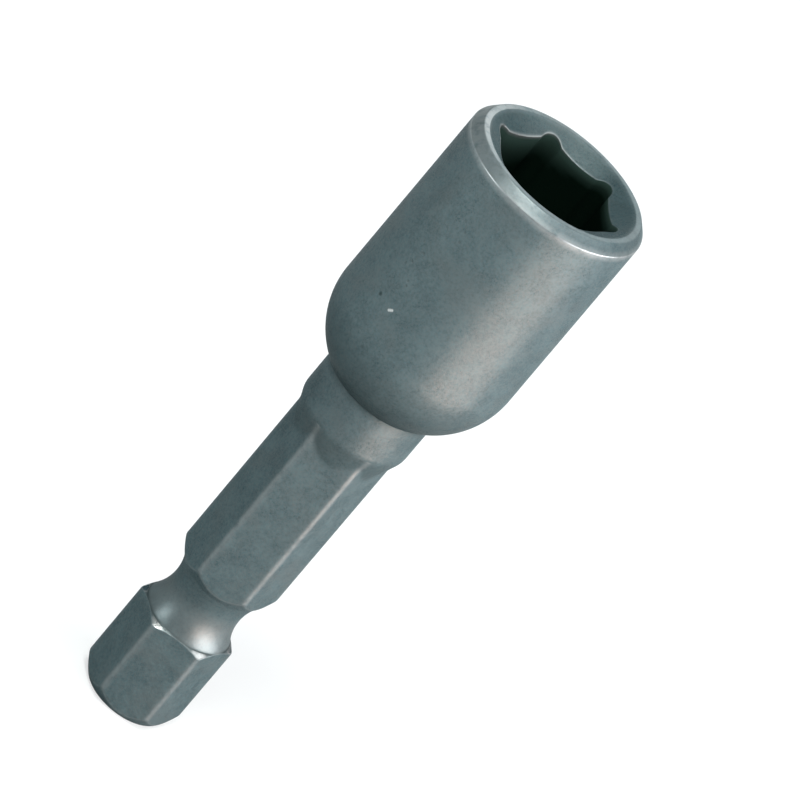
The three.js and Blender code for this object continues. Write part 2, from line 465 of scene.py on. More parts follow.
def rounded(corners, radii, steps=CORNER_STEPS):
    """A polyline whose inner corners are arcs.

    Each corner's arc touches both of its lines at radius times the tangent of half the turn, and
    its centre lies on the bisector. A radius of 0 keeps the corner sharp.
    """
    corners = np.asarray(corners, dtype=float)
    pieces = [corners[:1]]
    for before, corner, after, radius in zip(corners, corners[1:], corners[2:], radii):
        into = (corner - before) / np.linalg.norm(corner - before)
        out = (after - corner) / np.linalg.norm(after - corner)
        turn = math.atan2(into[0] * out[1] - into[1] * out[0], into @ out)
        if radius == 0 or abs(turn) < LEAST_TURN:
            pieces.append(corner[None])
            continue
        start = corner - into * radius * math.tan(abs(turn) / 2)
        side = np.array([-into[1], into[0]]) * math.copysign(1.0, turn)
        centre = start + side * radius
        first = math.atan2(start[1] - centre[1], start[0] - centre[0])
        pieces.append(arc(*centre, radius, first, first + turn, steps))
    pieces.append(corners[-1:])
    return np.concatenate(pieces)


def divided(line, step):
    """The polyline with each of its segments cut into equal lengths no longer than step."""
    line = np.asarray(line, dtype=float)
    lengths = np.linalg.norm(np.diff(line, axis=0), axis=1)
    along = np.concatenate([[0.0], np.cumsum(lengths)])
    counts = np.maximum(np.ceil(lengths / step), 1).astype(int)
    starts = np.repeat(along[:-1], counts)
    parts = np.arange(counts.sum()) - np.repeat(np.cumsum(counts) - counts, counts)
    at = np.append(starts + parts * np.repeat(lengths / counts, counts), along[-1])
    return np.stack([np.interp(at, along, line[:, 0]), np.interp(at, along, line[:, 1])], axis=1)


def corner_angle(theta):
    """Angle from the nearest corner of a hexagon with corners at 0, 60, 120 degrees."""
    return np.abs((theta + HALF_SECTOR) % (2 * HALF_SECTOR) - HALF_SECTOR)


def far_crossing(off_corner, centre, radius):
    """Distance from the axis to the far side of a circle centred on a corner's line.

    It is the centre's distance times the cosine of the angle from that line, plus the root of the
    radius squared less the square of the centre's distance times the sine.
    """
    inside = np.maximum(radius**2 - (centre * np.sin(off_corner)) ** 2, 0.0)
    return centre * np.cos(off_corner) + np.sqrt(inside)


def hexagon_radius(theta, apothem, edge_radius):
    """Distance from the axis to a hexagon with rounded corners, corners at 0, 60, 120 degrees.

    On a flat it is the apothem over the cosine of the angle from the flat's middle. Near a corner
    it is the far crossing with the edge's circle.
    """
    off_corner = corner_angle(theta)
    flat = apothem / np.cos(HALF_SECTOR - off_corner)
    rounding = far_crossing(off_corner, (apothem - edge_radius) / math.cos(HALF_SECTOR), edge_radius)
    touch = HALF_SECTOR - math.atan((apothem - edge_radius) / apothem * math.tan(HALF_SECTOR))
    return np.where(off_corner < touch, rounding, flat)


def ring_points(radius, height, theta):
    """Rows of points round the axis: radius times cosine and sine of theta, at the row's height."""
    radius, height, theta = np.broadcast_arrays(radius, height, theta)
    return np.stack([radius * np.cos(theta), radius * np.sin(theta), height], axis=-1)


def grid_quads(rows, columns):
    """The indices of a grid's points, and for each the face with the next row and column.

    The last row's faces join the first row, and the last column's join the first column.
    """
    index = np.arange(rows * columns).reshape(rows, columns)
    beside = np.roll(index, -1, axis=1)
    above, above_beside = np.roll(index, -1, axis=0), np.roll(beside, -1, axis=0)
    return index, np.stack([index, beside, above_beside, above], axis=-1)


def surface_object(name, points, attributes=None, ring=False):
    """A closed smooth mesh from a grid of points, rows by columns, whose columns go round the axis.

    With ring, the last row joins the first. Otherwise each end row is closed by a fan to a point at
    its middle. Attributes are numbers kept on the points.
    """
    rows, columns = points.shape[:2]
    vertices = points.reshape(-1, 3)
    index, quads = grid_quads(rows, columns)
    last = rows if ring else rows - 1
    faces = quads[:last].reshape(-1, 4).tolist()
    if not ring:
        first_pole, last_pole = np.full(columns, len(vertices)), np.full(columns, len(vertices) + 1)
        vertices = np.concatenate([vertices, points[[0, -1]].mean(axis=1)])
        faces += np.stack([first_pole, np.roll(index[0], -1), index[0]], axis=1).tolist()
        faces += np.stack([last_pole, index[-1], np.roll(index[-1], -1)], axis=1).tolist()
    mesh = bpy.data.meshes.new(name)
    mesh.from_pydata(vertices.tolist(), [], faces)
    for label, values in (attributes or {}).items():
        flat = np.zeros(len(vertices), dtype=np.float32)
        flat[: rows * columns] = np.broadcast_to(values, (rows, columns)).reshape(-1)
        mesh.attributes.new(label, "FLOAT", "POINT").data.foreach_set("value", flat)
    mesh.polygons.foreach_set("use_smooth", np.ones(len(mesh.polygons), dtype=bool))
    mesh.validate()
    piece = bpy.data.objects.new(name, mesh)
    bpy.context.collection.objects.link(piece)
    return piece


def even_angles(count):
    """Angles of a full turn in equal steps."""
    return np.arange(count) * 2 * math.pi / count


def hexagon_angles(per_side):
    """Angles of a full turn, crowded at a hexagon's corners by taking a sine off an even spacing."""
    even = np.arange(HEX_SIDES * per_side) / per_side
    return (even - CORNER_CROWDING * np.sin(2 * math.pi * even) / (2 * math.pi)) * 2 * HALF_SECTOR


# Shank


def shank_plan(s):
    """Radii, heights and profiles that the shank's forms share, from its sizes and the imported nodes.

    The end and the groove are turned limits of the bar, as radius and height, run out to a radius
    that clears the hexagon's corners. The groove is an arc hollow of the given least diameter with a
    straight flank on each side. The cone starts inside the bar and meets the collar in an arc.
    """
    p = SimpleNamespace()
    p.bottom, p.spigot_end = node_span("drive_shank")
    p.shoulder = node_span("socket")[0]
    p.collar = node_size("drive_shank").x / 2
    p.spigot = node_size("magnet_sleeve").x / 2
    p.apothem = s.across_flats / 2
    p.clear = p.apothem / math.cos(HALF_SECTOR) + CORNER_CLEARANCE

    face = s.end_face_diameter / 2
    chamfer_top = (p.clear - face) / math.tan(s.end_chamfer)
    end_line = [(HUB_SHARE * face, 0.0), (face, 0.0), (p.clear, chamfer_top)]
    p.end = rounded(end_line, [s.end_edge_radius], ROUND_STEPS)

    first = math.pi + math.acos(1 - s.groove_end_rise / s.groove_arc)
    last = math.pi - math.acos(1 - s.groove_nose_rise / s.groove_arc)
    centre = s.groove_diameter / 2 + s.groove_arc
    p.hollow = arc(centre, s.groove_centre, s.groove_arc, first, last, HOLLOW_STEPS)
    p.flank_start = p.hollow[0, 1] - (p.clear - p.hollow[0, 0]) / math.tan(s.groove_end_flank)
    p.flank_end = p.hollow[-1, 1] + (p.clear - p.hollow[-1, 0]) / math.tan(s.groove_nose_flank)

    p.cone_slope = math.tan(s.collar_cone)
    p.cone_top = p.shoulder - s.collar_length
    p.cone_start = p.cone_top - (p.collar - CONE_ROOT_SHARE * p.apothem) / p.cone_slope
    p.cone_edge = p.cone_top + s.collar_edge_radius * math.tan(s.collar_cone / 2)
    return p


def shank_limits(p):
    """Turned limits of the bar from its free end to the collar, as rows of radius and height."""
    flank_start, flank_end = (p.clear, p.flank_start), (p.clear, p.flank_end)
    cone_start, cone_edge = (p.clear, p.cone_start), (p.clear, p.cone_edge)
    return np.concatenate(
        [
            divided(p.end, FINE_STEP),
            divided([p.end[-1], flank_start], COARSE_STEP)[1:],
            divided([flank_start, p.hollow[0]], FINE_STEP)[1:-1],
            p.hollow,
            divided([p.hollow[-1], flank_end], FINE_STEP)[1:],
            divided([flank_end, cone_start], COARSE_STEP)[1:],
            divided([cone_start, cone_edge], MEDIUM_STEP)[1:],
        ]
    )


def shank_cone(s, p, height):
    """Radius of the cone at a height: the collar's radius plus the slope times the height above the top.

    Where it meets the collar it is an arc: the collar's radius less the arc's, plus the root of the arc's
    radius squared less the square of the distance below the arc's end.
    """
    cone = p.collar + (height - p.cone_top) * p.cone_slope
    reach = s.collar_edge_radius * math.sin(s.collar_cone)
    below = np.clip(p.cone_edge - height, 0.0, reach)
    edge = p.collar - s.collar_edge_radius + np.sqrt(s.collar_edge_radius**2 - below**2)
    return np.where(height < p.cone_edge - reach, cone, edge)


def shank_turned(s, p):
    """Collar, shoulder and spigot as one turned profile of radius and height."""
    line = rounded(
        [
            (p.collar, p.cone_edge),
            (p.collar, p.shoulder),
            (p.spigot, p.shoulder),
            (p.spigot, p.spigot_end - s.spigot_lead),
            (p.spigot - s.spigot_lead, p.spigot_end),
            (HUB_SHARE * p.spigot, p.spigot_end),
        ],
        [s.shoulder_edge, s.spigot_fillet, 0.0, 0.0],
    )
    return divided(line, COARSE_STEP)[1:]


def bar_finish(s, p, height, corner, cut, proud):
    """Rubbing with painted highlights, polish and painted shade of the bar's points.

    Corner is the distance from the nearest long edge, cut how deep a point is turned into the
    hexagon, and proud how far the cone stands out of it. Long edges and the edges of cuts are
    rubbed, and so is the groove's end flank, most by the corners; on the long edges and the flank's
    facets this brightness is partly rubbed steel and partly painted highlight. A chuck's balls
    burnish the end side of the hollow. Painted shade lies as a dark line in the crease at the
    hollow's end and on the cone, which faces the free end.
    """
    w = SHANK_RUBBING_AND_PAINTED_LIGHT
    hollow_start = p.hollow[0, 1]
    on_bar = fade(-cut, w.long_edge_fade) * (height < p.cone_top)
    # Long edges and the end flank's facets: partly rubbed steel, partly painted highlight; the cut edges are
    # rubbed steel.
    long_edges = w.long_edge * bell(corner, w.long_edge_width) * on_bar
    cut_edges = w.cut_edge * bell(cut, w.cut_edge_width)
    on_flank = (height > p.flank_start) & (height < hollow_start - w.flank_margin)
    by_corner = fade(w.flank_reach - corner, w.flank_fade)
    flank_wear = w.flank_between_corners + (1 - w.flank_between_corners) * by_corner
    flank = fade(cut, w.flank_edge) * on_flank * flank_wear

    in_groove = (height > p.flank_start) & (height < p.flank_end)
    ball_side = fade(s.groove_centre + w.ball_reach - height, w.ball_fade)
    polish = fade(cut, w.ball_edge) * in_groove * ~on_flank * ball_side

    # Painted shade: a dark line in the crease at the hollow's end, and shade on the cone.
    border = w.border_shade * bell(height - hollow_start, w.border_width) * fade(cut, w.border_edge)
    on_cone = fade(proud, w.cone_edge) * fade(p.cone_edge - height, w.cone_fade) * (height > p.cone_start)
    return {
        "rubbing_and_glint": np.maximum(np.maximum(long_edges, cut_edges), flank),
        "polish": polish,
        "painted_dark": border + w.cone_shade * on_cone,
    }


def turned_finish(p, height, columns):
    """Turned points: no rubbing or polish, and painted shade from just below the seam on."""
    w = SHANK_RUBBING_AND_PAINTED_LIGHT
    plain = np.zeros((len(height), columns))
    seam = plain + w.seam_shade * fade(height - p.shoulder + w.seam_reach, w.seam_fade)
    return {"rubbing_and_glint": plain, "polish": plain, "painted_dark": seam}


def shank_surface(s):
    """The drive shank as points over angle and height, and the rubbing, polish and painted light of each.

    The radius is the lesser of the rounded hexagon and the turned limits, blended where they meet,
    then the greater of that and the collar's cone. The collar, shoulder and spigot are turned.
    """
    p = shank_plan(s)
    theta = hexagon_angles(SIDE_STEPS)[None]
    limits = shank_limits(p)
    limit, height = limits[:, :1], limits[:, 1:]
    bar = hexagon_radius(theta, p.apothem, s.edge_radius)
    cone = shank_cone(s, p, height)
    radius = smooth_min(bar, limit, s.cut_softness)
    radius = np.where(height < p.cone_start, radius, smooth_max(radius, cone, s.cut_softness))
    bar_points = ring_points(radius, p.bottom + height, theta)
    turned = shank_turned(s, p)
    turned_points = ring_points(turned[:, :1], turned[:, 1:], theta)

    on_bar = bar_finish(s, p, height, corner_angle(theta) * bar, bar - limit, cone - bar)
    on_turned = turned_finish(p, turned[:, 1:], theta.size)
    finish = {label: np.concatenate([on_bar[label], on_turned[label]]) for label in on_bar}
    return np.concatenate([bar_points, turned_points]), finish


# Socket


def socket_plan(s):
    """Radii, heights and the outside profile of the socket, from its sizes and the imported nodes.

    The outside is one turned profile from the bore's rear end over the dome, up the wall, and over
    the rim's chamfer, land and lip. Its rows from wall_row on lie past the dome.
    """
    p = SimpleNamespace()
    p.rear, p.rim = node_span("socket")
    p.collar = node_size("drive_shank").x / 2
    p.bore = node_size("magnet_sleeve").x / 2 + BORE_CLEARANCE
    p.seat = node_span("magnet_sleeve")[1]
    radius = node_size("socket").x / 2

    dome_centre = radius - s.dome_radius
    dome_angle = math.acos(max(0.0, p.collar - dome_centre) / s.dome_radius)
    dome_top = p.rear + s.dome_radius * math.sin(dome_angle)
    dome = arc(dome_centre, dome_top, s.dome_radius, -dome_angle, 0.0, DOME_STEPS)

    p.wall_top = p.rim - s.chamfer_height
    p.wall_radius = radius - (p.wall_top - dome_top) * math.tan(s.draft)
    p.land = p.wall_radius - s.chamfer_width
    p.sink = p.land - s.land_width
    p.sink_slope = math.tan(s.countersink)
    lip_width = 2 * s.lip_radius
    rim_line = rounded(
        [
            tuple(dome[-1]),
            (p.wall_radius, p.wall_top),
            (p.land, p.rim),
            (p.sink, p.rim),
            (p.sink - lip_width, p.rim - lip_width * p.sink_slope),
        ],
        [s.rim_edge_radius, s.rim_edge_radius, s.lip_radius],
    )
    p.outside = np.concatenate([[(p.bore, p.rear)], dome[:-1], divided(rim_line, RIM_STEP)])
    p.wall_row = len(dome)
    return p


def pocket_outline(s):
    """The pocket's outline as radius and angle: six flats with a round relief at each corner.

    On a flat the radius is the apothem over the cosine of the angle from the flat's middle. In a
    corner it is the far crossing with the relief's circle, which reaches relief_depth past the sharp
    corner. The outline is the greater of the two, blended. Angles crowd at the corners.
    """
    near_corner = np.linspace(-RELIEF_SECTOR, RELIEF_SECTOR, RELIEF_STEPS, endpoint=False)
    on_flat = np.linspace(RELIEF_SECTOR, 2 * HALF_SECTOR - RELIEF_SECTOR, FLAT_STEPS, endpoint=False)
    off_corner = np.concatenate([near_corner, on_flat])
    apothem = s.pocket_across_flats / 2
    flat = apothem / np.cos(off_corner - np.sign(off_corner) * HALF_SECTOR)
    centre = apothem / math.cos(HALF_SECTOR) + s.relief_depth - s.relief_radius
    relief = far_crossing(off_corner, centre, s.relief_radius)
    radius = smooth_max(flat, relief, s.relief_blend)
    corners = np.arange(HEX_SIDES)[:, None] * 2 * HALF_SECTOR + s.pocket_turn
    return np.tile(radius, HEX_SIDES), (corners + off_corner).reshape(-1)


def socket_rows(s, p, pocket, edge_height):
    """Radii and heights of the socket's points, with a column for each point of the pocket's outline.

    After the outside, each column runs down the countersink to the pocket's outline, round a small
    edge arc, down the straight wall, over the seat and down the bore.
    """
    swing = math.pi / 2 - s.countersink
    touch = s.pocket_edge_radius * math.tan(swing / 2)
    turn = swing * (1 - shares(EDGE_STEPS))
    edge_r = pocket + s.pocket_edge_radius * (1 - np.cos(turn))
    edge_z = edge_height - touch + s.pocket_edge_radius * np.sin(turn)
    lip_r, lip_z = p.outside[-1]
    top_r = pocket + touch * math.cos(s.countersink)
    top_z = edge_height + touch * math.sin(s.countersink)
    down_sink = shares(SINK_STEPS)
    stretches = (
        (p.outside[:, :1], p.outside[:, 1:]),
        (lip_r + (top_r - lip_r) * down_sink, lip_z + (top_z - lip_z) * down_sink),
        (edge_r, edge_z),
        (pocket, edge_z[-1] + (p.seat - edge_z[-1]) * shares(WALL_STEPS)),
        (pocket + (p.bore - pocket) * shares(SEAT_STEPS), p.seat),
        (p.bore, p.seat + (p.rear - p.seat) * shares(BORE_STEPS)[:-1]),
    )
    grids = [np.broadcast_arrays(r, z, pocket[None])[:2] for r, z in stretches]
    return tuple(np.concatenate(parts) for parts in zip(*grids))


def socket_finish(s, p, theta, pocket, edge_height, radii, heights):
    """Rubbing with painted highlights, painted shade and darkening of the socket's points.

    The rim's edge and land are rubbed, partly as rubbed steel and partly as painted highlight, and
    the land and chamfer are painted lighter towards the lit rim side. The pocket's edge has a painted
    glint, strongest on the lit pocket side. Shade, painted, is the root of the depth below the
    pocket's edge over its reach, which is longer on the lit pocket side so that this wall reads lit.
    Painted shade lies in the seam with the collar and more faintly about it on the dome, and the
    countersink is painted darker.
    """
    w = SOCKET_RUBBING_AND_PAINTED_LIGHT
    # Painted highlight: the rim is lighter towards the lit rim angle. Painted light in the pocket: its wall
    # and edge are lighter towards the lit side angle.
    lit_rim_side = 0.5 + 0.5 * np.cos(theta - s.lit_rim_angle)
    lit_side = np.maximum(np.cos(theta - s.lit_side_angle), 0.0) ** 2
    rows = np.arange(len(radii))[:, None]
    above_seat = heights > p.seat - SEAT_MARGIN
    past_dome = (rows >= p.wall_row) & above_seat
    in_pocket = (rows >= len(p.outside)) & above_seat

    def near(r, z, width):
        """A bell of the distance from an edge at radius r and height z."""
        return bell(np.hypot(radii - r, heights - z), width)

    on_edge = w.rim_edge * near(p.wall_radius, p.wall_top, w.rim_edge_width)
    on_land = (w.land + w.land_lit_rim * lit_rim_side) * near((p.land + p.sink) / 2, p.rim, w.land_width)
    chamfered = (heights > p.wall_top) & (radii > p.sink)
    on_rim = np.maximum(on_edge + on_land, (w.chamfer + w.chamfer_lit_rim * lit_rim_side**4) * chamfered)
    # Painted glint on the pocket's edge, strongest on the lit side.
    on_pocket = near(pocket, edge_height, w.pocket_edge_width) * (radii < p.sink - s.lip_radius)
    rubbing_and_glint = on_rim + (w.pocket_edge + w.pocket_edge_lit_side * lit_side) * on_pocket

    # Painted shade inside the pocket, reaching deeper before black on the lit side.
    reach = s.shade_reach * (1 + s.lit_side_reach * lit_side)
    shade = np.sqrt(fade(edge_height - heights, reach)) * in_pocket
    # Painted shade in the seam with the collar and on the dome about it; the countersink painted darker.
    seam = w.seam_shade * near(p.collar, p.rear, w.seam_width)
    root = w.root_shade * near(p.collar, p.rear, w.root_width)
    on_sink = w.sink_darkening * fade(p.sink - radii, w.sink_fade) * past_dome
    return {"rubbing_and_glint": np.clip(rubbing_and_glint, 0.0, 1.0), "shade": shade, "painted_dark": np.maximum(seam + root, on_sink)}


def socket_surface(s):
    """The socket as one closed ring of points, and the rubbing, painted light and darkening of each.

    Each column runs up the turned outside, over the rim, down the pocket and back down the bore. The
    pocket's edge lies where the countersink, which falls at its slope from the rim, meets the outline.
    """
    p = socket_plan(s)
    pocket, theta = pocket_outline(s)
    edge_height = p.rim - (p.sink - pocket) * p.sink_slope
    radii, heights = socket_rows(s, p, pocket, edge_height)
    finish = socket_finish(s, p, theta, pocket, edge_height, radii, heights)
    return ring_points(radii, heights, theta[None]), finish


def wall_point(theta, height):
    """A point at the socket's greatest radius, at an angle round the axis and a height."""
    radius = node_size("socket").x / 2
    return Vector((radius * math.cos(theta), radius * math.sin(theta), height))


# Magnet and sleeve


def disc_surface(radius, bottom, top, edge_radius):
    """A plain disc: one turned profile from the middle of its lower face to that of its upper face."""
    hub = HUB_SHARE * radius
    corners = [(hub, bottom), (radius, bottom), (radius, top), (hub, top)]
    profile = divided(rounded(corners, [edge_radius] * 2, ROUND_STEPS), DISC_STEP)
    return ring_points(profile[:, :1], profile[:, 1:], even_angles(TURNED_COLUMNS)[None])


def tube_surface(inner, outer, bottom, top, edge_radius):
    """A short tube: a rounded rectangle carried round the axis, closed on itself."""
    start = ((inner + outer) / 2, bottom)
    corners = [start, (outer, bottom), (outer, top), (inner, top), (inner, bottom), start]
    profile = divided(rounded(corners, [edge_radius] * 4), SLEEVE_STEP)[:-1]
    return ring_points(profile[:, :1], profile[:, 1:], even_angles(TURNED_COLUMNS)[None])


# Finishes


class Nodes:
    """A short way to write a material's node tree: each call adds a node and links its inputs."""

    def __init__(self, name):
        self.material = bpy.data.materials.new(name)
        self.material.use_nodes = True
        self.tree = self.material.node_tree
        self.tree.nodes.clear()
        self.place = self.add("ShaderNodeTexCoord").outputs["Object"]

    def put(self, socket, value):
        """Links an output to an input, or sets the input's own value."""
        if isinstance(value, bpy.types.NodeSocket):
            self.tree.links.new(value, socket)
        else:
            socket.default_value = value

    def add(self, kind, values=None, **settings):
        """Adds a node, sets its properties, and links or sets each named input."""
        node = self.tree.nodes.new(kind)
        for key, value in settings.items():
            setattr(node, key, value)
        for key, value in (values or {}).items():
            self.put(node.inputs[key], value)
        return node

    def math(self, operation, a, b):
        """One Math node's result."""
        return self.add("ShaderNodeMath", {0: a, 1: b}, operation=operation).outputs[0]

    def times(self, a, b):
        """The product of two numbers."""
        return self.math("MULTIPLY", a, b)

    def plus(self, a, b):
        """The sum of two numbers."""
        return self.math("ADD", a, b)

    def minus(self, a, b):
        """The first number less the second."""
        return self.math("SUBTRACT", a, b)

    def greater(self, a, b):
        """The greater of two numbers."""
        return self.math("MAXIMUM", a, b)

    def mix(self, factor, a, b):
        """Colour a blended to colour b."""
        node = self.add("ShaderNodeMix", data_type="RGBA")
        self.put(next(i for i in node.inputs if i.name == "Factor"), factor)
        first, second = (i for i in node.inputs if i.type == "RGBA")
        self.put(first, a)
        self.put(second, b)
        return next(o for o in node.outputs if o.type == "RGBA")

    def noise(self, scale, detail, roughness=0.5):
        """Soft noise, from 0 to 1, at a number of lumps per metre."""
        values = {"Vector": self.place, "Scale": scale, "Detail": detail, "Roughness": roughness}
        return self.add("ShaderNodeTexNoise", values).outputs["Fac"]

    def ramp(self, value, start, end):
        """0 at start, 1 at end, a straight line between, and level beyond."""
        values = {"Value": value, "From Min": start, "From Max": end}
        return self.add("ShaderNodeMapRange", values).outputs["Result"]

    def away(self, point):
        """Distance from a point."""
        values = {0: self.place, 1: point}
        return self.add("ShaderNodeVectorMath", values, operation="DISTANCE").outputs["Value"]

    def spot(self, centre, radius):
        """1 about a point, falling to 0 at a radius from it."""
        return self.ramp(self.away(centre), start=radius, end=SPOT_CORE_SHARE * radius)

    def attribute(self, label):
        """A number kept on the piece's points."""
        return self.add("ShaderNodeAttribute", attribute_name=label).outputs["Fac"]

    def bump(self, height, strength, depth):
        """The normal of a surface with fine relief."""
        values = {"Height": height, "Strength": strength, "Distance": depth}
        return self.add("ShaderNodeBump", values).outputs["Normal"]

    def finish(self, shader):
        """Links the shader to the surface and returns the material."""
        self.add("ShaderNodeOutputMaterial", {"Surface": shader})
        return self.material


def rgba(value):
    """A colour as red, green, blue and alpha."""
    return (*value, 1.0)


def coat_pits(n, rubbing_and_glint):
    """Small pits, in patches, where the coat isn't rubbed."""
    voronoi = n.add("ShaderNodeTexVoronoi", {"Vector": n.place, "Scale": COAT.pit_scale})
    pits = n.ramp(voronoi.outputs["Distance"], start=0.16, end=0.06)
    patches = n.ramp(n.noise(COAT.pit_patch_scale, detail=2.0), start=0.52, end=0.62)
    return n.times(n.times(pits, patches), n.ramp(rubbing_and_glint, start=0.05, end=0.0))


def phosphate_steel(name, f, nicks=(), dents=()):
    """Blasted steel under a thin grey phosphate coat, with fine points of steel showing through.

    The coat is mottled at about 1.4 mm, grained at about 0.2 mm, and clouded and pitted here
    and there. It is bright steel where the attribute for rubbing and glints is high, which is partly
    rubbed steel and partly painted highlight, and burnished where polish is. It is darkened where
    the painted dark attribute is, which is painted shade with a darker countersink, and black where
    shade is, which is the pocket's painted shade. Nicks are bright spots and dents dark ones, each a
    point and a radius.
    """
    c = COAT
    n = Nodes(name)
    rubbing_and_glint, polish, shade = n.attribute("rubbing_and_glint"), n.attribute("polish"), n.attribute("shade")
    mottle = n.noise(c.mottle_scale, detail=4.0, roughness=0.6)
    grain = n.noise(c.grain_scale, detail=3.0, roughness=0.6)
    pits = coat_pits(n, rubbing_and_glint)

    pattern = n.plus(n.times(mottle, c.mottle_share), n.times(grain, 1 - c.mottle_share))
    tone = n.ramp(pattern, start=0.39, end=0.61)
    fleck_level = n.plus(n.noise(c.fleck_scale, detail=1.0), n.times(n.minus(tone, 0.5), c.fleck_bias))
    flecks = n.ramp(fleck_level, start=0.44, end=0.56)
    clouds = n.ramp(n.noise(c.cloud_scale, detail=3.0), start=0.5, end=0.68)
    burnish = n.times(polish, c.burnish_strength)
    # rubbed is the share of bright steel: partly rubbed steel, partly painted highlight, and the nicks.
    rubbed = n.times(rubbing_and_glint, n.ramp(n.noise(c.rub_scale, detail=3.0), start=0.1, end=0.5))
    for centre, radius in nicks:
        rubbed = n.greater(rubbed, n.spot(centre, radius))

    coat = n.mix(tone, rgba(f.phosphate_dark), rgba(f.phosphate_light))
    coat = n.mix(n.times(pits, c.pit_darkness), coat, rgba(f.pit))
    coat = n.mix(n.times(clouds, c.cloud_strength), coat, rgba(f.warm_steel))
    coat = n.mix(flecks, coat, rgba(f.steel))
    coat = n.mix(burnish, coat, rgba(f.burnished))
    # Bright steel: rubbed edges and nicks, and painted highlights.
    coat = n.mix(rubbed, coat, rgba(f.rubbed_and_glint_steel))
    for centre, radius in dents:
        coat = n.mix(n.times(n.spot(centre, radius), c.dent_darkness), coat, rgba(f.pocket_shade_and_dent_black))
    # Painted shade in the seams, the crease, on the cone and the dome, and a darker countersink.
    coat = n.mix(n.times(n.attribute("painted_dark"), c.painted_dark_strength), coat, rgba(f.painted_dark))
    # Painted shade in the pocket: a greenish half shade near its edge, then black below.
    coat = n.mix(n.ramp(shade, start=0.0, end=0.3), coat, rgba(f.pocket_half_shade))
    coat = n.mix(shade, coat, rgba(f.pocket_shade_and_dent_black))

    roughness = n.plus(c.roughness, n.times(grain, c.grain_roughness))
    roughness = n.plus(roughness, n.times(mottle, c.mottle_roughness))
    roughness = n.minus(roughness, n.times(rubbed, c.rub_smoothing))
    # Painted shade in the pocket also takes out the steel flecks.
    unshaded_flecks = n.times(flecks, n.ramp(shade, start=0.4, end=0.0))
    metal = n.greater(n.greater(unshaded_flecks, rubbed), burnish)
    relief = n.plus(n.times(grain, 0.5), n.times(mottle, 0.5))
    relief = n.minus(relief, n.times(pits, c.pit_depth))
    calm = n.minus(1.0, n.times(polish, c.burnish_calm))
    shader = n.add(
        "ShaderNodeBsdfPrincipled",
        {
            "Base Color": coat,
            "Metallic": metal,
            "Roughness": roughness,
            "Normal": n.bump(n.times(relief, calm), c.bump_strength, c.bump_depth),
            "Specular IOR Level": 0.0,
            "Specular Tint": rgba((c.edge_tint,) * 3),
        },
    )
    return n.finish(shader.outputs["BSDF"])


def turned_metal(name, clean, tarnished, roughness):
    """Plain turned metal: fine rings about the axis, and dull spots of tarnish."""
    t = TURNED
    n = Nodes(name)
    rings = n.add(
        "ShaderNodeTexWave",
        {"Vector": n.place, "Scale": t.ring_scale, "Distortion": t.ring_wander, "Detail": 2.0},
        wave_type="RINGS",
        rings_direction="Z",
    ).outputs["Fac"]
    tarnish = n.ramp(n.noise(t.tarnish_scale, detail=4.0), start=0.35, end=0.7)
    shader = n.add(
        "ShaderNodeBsdfPrincipled",
        {
            "Base Color": n.mix(n.times(tarnish, t.tarnish_strength), rgba(clean), rgba(tarnished)),
            "Metallic": 1.0,
            "Roughness": n.plus(roughness, n.times(tarnish, t.tarnish_roughness)),
            "Normal": n.bump(rings, t.bump_strength, t.bump_depth),
        },
    )
    return n.finish(shader.outputs["BSDF"])


def pale_floor(name, s, shaded):
    """A matt pale floor, lifted to white where it is seen, so that only the object's shadow shows.

    Metal and glass show the lift too, less about the point shaded, where the object keeps light off
    the floor: a share of it within the radius foot, and all of it beyond the radius clear.
    """
    n = Nodes(name)
    specks = n.ramp(n.noise(FLOOR_SPECK_SCALE, detail=4.0), start=0.3, end=0.7)
    speck_tint = tuple(c * FLOOR_SPECK_SHADE for c in s.floor)
    tint = n.mix(specks, rgba(s.floor), rgba(speck_tint))
    matt = n.add("ShaderNodeBsdfDiffuse", {"Color": tint}).outputs["BSDF"]
    path = n.add("ShaderNodeLightPath").outputs
    open_floor = n.ramp(n.away(shaded), start=s.foot, end=s.clear)
    open_floor = n.plus(s.foot_share, n.times(open_floor, 1 - s.foot_share))
    mirrored = n.greater(path["Is Glossy Ray"], path["Is Transmission Ray"])
    seen = n.greater(path["Is Camera Ray"], n.times(mirrored, open_floor))
    glow = {"Color": rgba((1.0, 1.0, 1.0)), "Strength": n.times(seen, s.floor_lift)}
    white = n.add("ShaderNodeEmission", glow).outputs["Emission"]
    return n.finish(n.add("ShaderNodeAddShader", {0: matt, 1: white}).outputs["Shader"])


def dress(piece, node, material):
    """Gives a piece its finish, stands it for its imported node, and lets it ride on the tool."""
    piece.data.materials.append(material)
    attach(piece, BODY)
    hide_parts(node)


# Operators


class NUTSETTER_OT_shank(bpy.types.Operator):
    """Make the hexagon drive shank with its chamfer, detent groove, collar and spigot"""

    bl_idname = "nut_setter.shank"
    bl_label = "Drive Shank"

    def execute(self, context):
        settings = context.scene.nut_setter
        piece = surface_object("shank_body", *shank_surface(settings.shank))
        dress(piece, "drive_shank", phosphate_steel("shank_phosphate", settings.finish))
        return {"FINISHED"}


class NUTSETTER_OT_socket(bpy.types.Operator):
    """Make the domed socket with its chamfered rim, countersink and relieved hexagon pocket"""

    bl_idname = "nut_setter.socket"
    bl_label = "Socket"

    def execute(self, context):
        settings = context.scene.nut_setter
        s = settings.socket
        piece = surface_object("socket_body", *socket_surface(s), ring=True)
        nicks = [
            (wall_point(s.nick_angle + end * s.nick_turn, s.nick_height + end * s.nick_rise), s.nick_radius)
            for end in (-1, 0, 1)
        ]
        dents = [(wall_point(s.dent_angle, s.dent_height), s.dent_radius)]
        coat = phosphate_steel("socket_phosphate", settings.finish, nicks, dents)
        dress(piece, "socket", coat)
        return {"FINISHED"}


